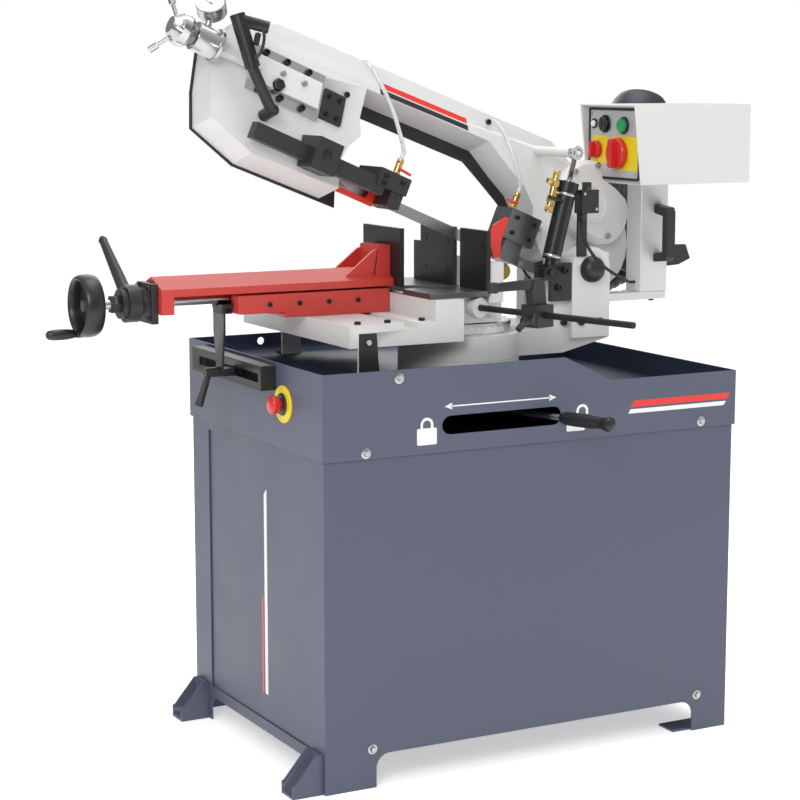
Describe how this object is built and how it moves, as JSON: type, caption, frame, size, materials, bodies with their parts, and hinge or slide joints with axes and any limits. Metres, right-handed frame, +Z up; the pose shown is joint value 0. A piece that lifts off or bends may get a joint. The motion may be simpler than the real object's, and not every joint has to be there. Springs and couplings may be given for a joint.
{
  "type": "band saw",
  "caption": "Swivel-arm metal-cutting band saw on a cabinet stand, with hinged bow, tilted wheels and blade, cross-sliding vise, feed cylinder, balance spring, control box and length stop.",
  "frame": {"origin": "middle of the base of the bounding box, on the floor", "axes": "+X along the long front of the stand to the right, +Y to the back, +Z up; the operator stands at the left, at -X"},
  "size_m": [1.4293, 0.8486, 1.4041],
  "materials": {
    "blade_steel": "rolled",
    "bright_steel": "bright",
    "bristle": "fibres",
    "cast_grey": "satin",
    "chrome": "polished",
    "clear_hose": "translucent",
    "dark_steel": "machined",
    "guard_red": "satin",
    "motor_navy": "satin",
    "panel_silver": "satin",
    "satin_black": "satin",
    "signal_green": "gloss",
    "signal_red": "gloss",
    "stand_blue": "satin",
    "vise_red": "satin"
  },
  "bodies": {
    "stand": {"cabinet": "stand_blue", "side_panel": "stand_blue", "drip_tray": "stand_blue", "rail": "satin_black", "turntable_base": "cast_grey", "base_casting": "cast_grey", "table_plate": "dark_steel", "front_jaw": "satin_black", "rear_jaw": "satin_black", "stop_rod": "dark_steel"},
    "estop": {"estop_button": "signal_red"},
    "work_stop": {"stop_casting": "satin_black"},
    "lock_lever": {"swivel_lock_lever": "satin_black"},
    "vise_cross": {"vise_bed": "vise_red", "vise_support": "satin_black"},
    "rail_clamp": {"rail_clamp_lever": "satin_black"},
    "vise": {"vise_slide": "vise_red", "movable_jaw": "satin_black", "vise_drive_housing": "satin_black"},
    "quick_lever": {"quick_clamp_lever": "satin_black"},
    "wheel": {"handwheel": "satin_black"},
    "crank": {"crank_handle": "satin_black"},
    "arm": {"swivel_arm": "cast_grey", "cylinder_bracket": "satin_black", "control_box": "cast_grey", "control_panel": "panel_silver", "post_handle": "satin_black", "limit_switch": "satin_black", "switch_cable": "satin_black"},
    "selector": {"selector_switch": "satin_black"},
    "start": {"start_button": "signal_green"},
    "speed": {"speed_switch": "signal_red"},
    "main": {"main_switch": "signal_red"},
    "cylinder": {"hydraulic_cylinder": "satin_black"},
    "flow_valve": {"flow_valve_lever": "satin_black"},
    "piston": {"piston_rod": "chrome"},
    "spring": {"balance_spring": "satin_black"},
    "spring_rod": {"spring_rod": "satin_black"},
    "bow": {"bow_frame": "cast_grey", "back_cover": "satin_black", "gearbox": "cast_grey", "motor": "motor_navy", "blade": "blade_steel", "tension_unit": "bright_steel", "grip_handle": "satin_black", "tail_bracket": "satin_black", "guide_clamp": "satin_black", "right_guide": "dark_steel", "right_hose": "clear_hose", "left_hose": "clear_hose"},
    "drive": {"drive_wheel": "dark_steel"},
    "carriage": {"tension_carriage": "cast_grey"},
    "idler": {"idler_wheel": "dark_steel"},
    "tension_screw": {"tension_knob": "chrome"},
    "trigger": {"trigger": "satin_black"},
    "guide": {"guide_bar": "satin_black", "left_guard": "guard_red"},
    "left_tap": {"left_tap_lever": "guard_red"},
    "right_tap": {"right_tap_lever": "guard_red"},
    "brush": {"brush": "bristle"}
  },
  "joints": [
    {"name": "swivel", "type": "hinge", "parent": "stand", "child": "arm", "pos_m": [0.0623, 0.0423, 0.742], "axis": [0, 0, 1], "range_deg": [-30, 0]},
    {"name": "bow_hinge", "type": "hinge", "parent": "arm", "child": "bow", "pos_m": [0.3073, 0.0423, 0.9], "axis": [0, -1, 0], "range_deg": [0, 21]},
    {"name": "feed_cylinder", "type": "hinge", "parent": "arm", "child": "cylinder", "pos_m": [0.2028, -0.0502, 0.9], "axis": [0, -1, 0], "range_deg": [-1, 22]},
    {"name": "feed_rod", "type": "slide", "parent": "cylinder", "child": "piston", "axis": [0.2541, 0, 0.9672], "range_m": [-0.041, 0.001]},
    {"name": "spring_pivot", "type": "hinge", "parent": "arm", "child": "spring", "pos_m": [0.3728, 0.1768, 0.8], "axis": [0, -1, 0], "range_deg": [-1, 23]},
    {"name": "spring_stretch", "type": "slide", "parent": "spring", "child": "spring_rod", "axis": [0.9311, 0, 0.3649], "range_m": [-0.001, 0.046]},
    {"name": "feed_valve", "type": "hinge", "parent": "cylinder", "child": "flow_valve", "pos_m": [0.20783, -0.059, 1.03723], "axis": [0, 1, 0], "range_deg": [0, 90]},
    {"name": "vise_cross_slide", "type": "slide", "parent": "stand", "child": "vise_cross", "axis": [0, 1, 0], "range_m": [-0.05, 0.1]},
    {"name": "vise_travel", "type": "slide", "parent": "vise_cross", "child": "vise", "axis": [1, 0, 0], "range_m": [-0.1, 0.095]},
    {"name": "vise_screw", "type": "hinge", "parent": "vise", "child": "wheel", "pos_m": [-0.6392, 0.1378, 0.862], "axis": [1, 0, 0], "range_deg": [-4000, 4000]},
    {"name": "crank_spin", "type": "hinge", "parent": "wheel", "child": "crank", "pos_m": [-0.6397, 0.1378, 0.8135], "axis": [1, 0, 0], "continuous": true},
    {"name": "quick_clamp", "type": "hinge", "parent": "vise", "child": "quick_lever", "pos_m": [-0.5572, 0.1378, 0.862], "axis": [1, 0, 0], "range_deg": [-90, 20]},
    {"name": "rail_clamp", "type": "hinge", "parent": "vise_cross", "child": "rail_clamp", "pos_m": [-0.3875, 0.1378, 0.7275], "axis": [1, 0, 0], "range_deg": [-50, 50]},
    {"name": "swivel_lock", "type": "hinge", "parent": "stand", "child": "lock_lever", "pos_m": [0.0623, 0.0423, 0.649], "axis": [0, 0, 1], "range_deg": [-45, 0]},
    {"name": "stop_slide", "type": "slide", "parent": "stand", "child": "work_stop", "axis": [0.2521, -0.9677, 0], "range_m": [-0.08, 0.19]},
    {"name": "estop_push", "type": "slide", "parent": "stand", "child": "estop", "axis": [1, 0, 0], "range_m": [0, 0.004], "stiffness_N_per_m": 600},
    {"name": "selector_turn", "type": "hinge", "parent": "arm", "child": "selector", "pos_m": [0.4183, 0.0865, 1.17], "axis": [1, 0, 0], "range_deg": [-45, 45]},
    {"name": "start_push", "type": "slide", "parent": "arm", "child": "start", "axis": [1, 0, 0], "range_m": [0, 0.003], "stiffness_N_per_m": 400},
    {"name": "speed_turn", "type": "hinge", "parent": "arm", "child": "speed", "pos_m": [0.4183, 0.1128, 1.12], "axis": [1, 0, 0], "range_deg": [-45, 45]},
    {"name": "main_turn", "type": "hinge", "parent": "arm", "child": "main", "pos_m": [0.4183, 0.0378, 1.114], "axis": [1, 0, 0], "range_deg": [0, 90]},
    {"name": "blade_drive", "type": "hinge", "parent": "bow", "child": "drive", "pos_m": [0.3314, 0.07676, 0.95677], "axis": [-0.1336, 0.9397, -0.3148], "continuous": true},
    {"name": "blade_tension", "type": "slide", "parent": "bow", "child": "carriage", "axis": [0.9205, 0, -0.3907], "range_m": [0, 0.006]},
    {"name": "idler_spin", "type": "hinge", "parent": "carriage", "child": "idler", "pos_m": [-0.31756, 0.07676, 1.23224], "axis": [-0.1336, 0.9397, -0.3148], "continuous": true},
    {"name": "tension_turn", "type": "hinge", "parent": "bow", "child": "tension_screw", "pos_m": [-0.49343, 0.0355, 1.34257], "axis": [0.9205, 0, -0.3907], "range_deg": [-1500, 1500]},
    {"name": "trigger_pull", "type": "hinge", "parent": "bow", "child": "trigger", "pos_m": [-0.36702, -0.00561, 1.3358], "axis": [-0.1336, 0.9397, -0.3148], "range_deg": [0, 12], "stiffness_Nm_per_rad": 0.05},
    {"name": "guide_slide", "type": "slide", "parent": "bow", "child": "guide", "axis": [0.9205, 0, -0.3907], "range_m": [0, 0.055], "deforming": ["left_hose"]},
    {"name": "left_tap_turn", "type": "hinge", "parent": "guide", "child": "left_tap", "pos_m": [-0.09387, -0.014, 1.09636], "axis": [0, 1, 0], "range_deg": [-90, 0]},
    {"name": "right_tap_turn", "type": "hinge", "parent": "bow", "child": "right_tap", "pos_m": [0.16583, 0.006, 1.0274], "axis": [0, 1, 0], "range_deg": [0, 90]},
    {"name": "brush_spin", "type": "hinge", "parent": "bow", "child": "brush", "pos_m": [0.14363, 0.0203, 0.89832], "axis": [0, 1, 0], "continuous": true}
  ],
  "couplings": [
    {"joint": "feed_cylinder", "follows": "bow_hinge", "ratio": 0.945},
    {"joint": "feed_rod", "follows": "bow_hinge", "m_per_rad": -0.10357},
    {"joint": "spring_pivot", "follows": "bow_hinge", "ratio": 1.02},
    {"joint": "spring_stretch", "follows": "bow_hinge", "m_per_rad": 0.11885},
    {"joint": "vise_screw", "follows": "vise_travel", "rad_per_m": 628.32},
    {"joint": "idler_spin", "follows": "blade_drive", "ratio": 1},
    {"joint": "tension_turn", "follows": "blade_tension", "rad_per_m": 4188.8}
  ]
}
